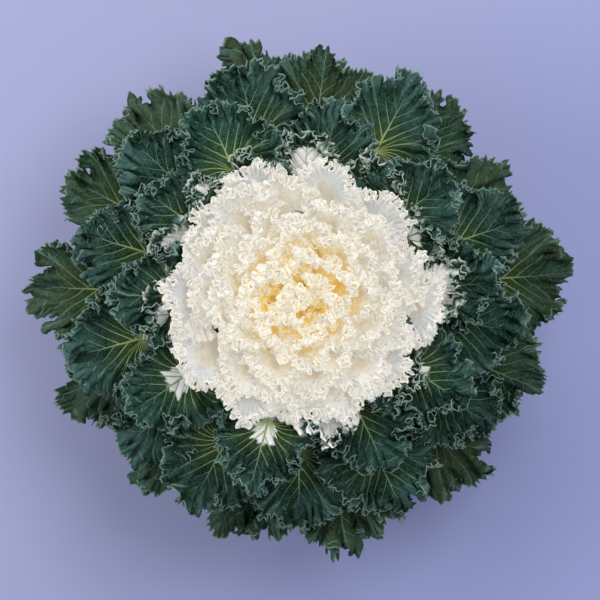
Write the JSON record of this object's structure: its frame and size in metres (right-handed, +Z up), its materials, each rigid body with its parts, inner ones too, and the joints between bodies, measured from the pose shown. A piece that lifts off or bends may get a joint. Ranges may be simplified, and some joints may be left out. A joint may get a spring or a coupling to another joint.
{
  "type": "ornamental kale plant",
  "caption": "Ornamental kale: white frilled head in a low rosette of fan-shaped curly green leaves, on a short stem in a plain round nursery pot of potting mix.",
  "frame": {"origin": "centre of the pot's flat base", "axes": "+Z up along the stem and the pot's axis; +X and +Y lie in the surface that the pot stands on"},
  "size_m": [0.3545, 0.3342, 0.2307],
  "materials": {
    "pot": "moulded terracotta-coloured plastic, matt, with fine rings",
    "potting_mix": "dark peat and bark crumbs with some white perlite",
    "stem": "pale green woody stalk with leaf scars",
    "leaf_lower": "waxy dark olive-green leaf with pale green veins and a tightly curled margin",
    "leaf_middle": "waxy dark blue-green leaf with pale green veins and a tightly curled margin",
    "leaf_upper": "waxy blue-green leaf, whitish at its base, with pale veins and a tightly curled margin",
    "head": "soft white curly leaves, cream to yellow deep between them"
  },
  "bodies": {
    "root": {"pot": "pot", "potting_mix": "potting_mix", "stem": "stem", "lower_leaf_01": "leaf_lower", "lower_leaf_02": "leaf_lower", "lower_leaf_03": "leaf_lower", "lower_leaf_04": "leaf_lower", "lower_leaf_05": "leaf_lower", "lower_leaf_06": "leaf_lower", "lower_leaf_07": "leaf_lower", "lower_leaf_08": "leaf_lower", "lower_leaf_09": "leaf_lower", "lower_leaf_10": "leaf_lower", "lower_leaf_11": "leaf_lower", "lower_leaf_12": "leaf_lower", "lower_leaf_13": "leaf_lower", "lower_leaf_14": "leaf_lower", "middle_leaf_01": "leaf_middle", "middle_leaf_02": "leaf_middle", "middle_leaf_03": "leaf_middle", "middle_leaf_04": "leaf_middle", "middle_leaf_05": "leaf_middle", "middle_leaf_06": "leaf_middle", "middle_leaf_07": "leaf_middle", "middle_leaf_08": "leaf_middle", "middle_leaf_09": "leaf_middle", "middle_leaf_10": "leaf_middle", "middle_leaf_11": "leaf_middle", "middle_leaf_12": "leaf_middle", "upper_leaf_01": "leaf_upper", "upper_leaf_02": "leaf_upper", "upper_leaf_03": "leaf_upper", "upper_leaf_04": "leaf_upper", "upper_leaf_05": "leaf_upper", "upper_leaf_06": "leaf_upper", "upper_leaf_07": "leaf_upper", "upper_leaf_08": "leaf_upper", "upper_leaf_09": "leaf_upper", "upper_leaf_10": "leaf_upper", "white_head": "head"}
  },
  "joints": []
}
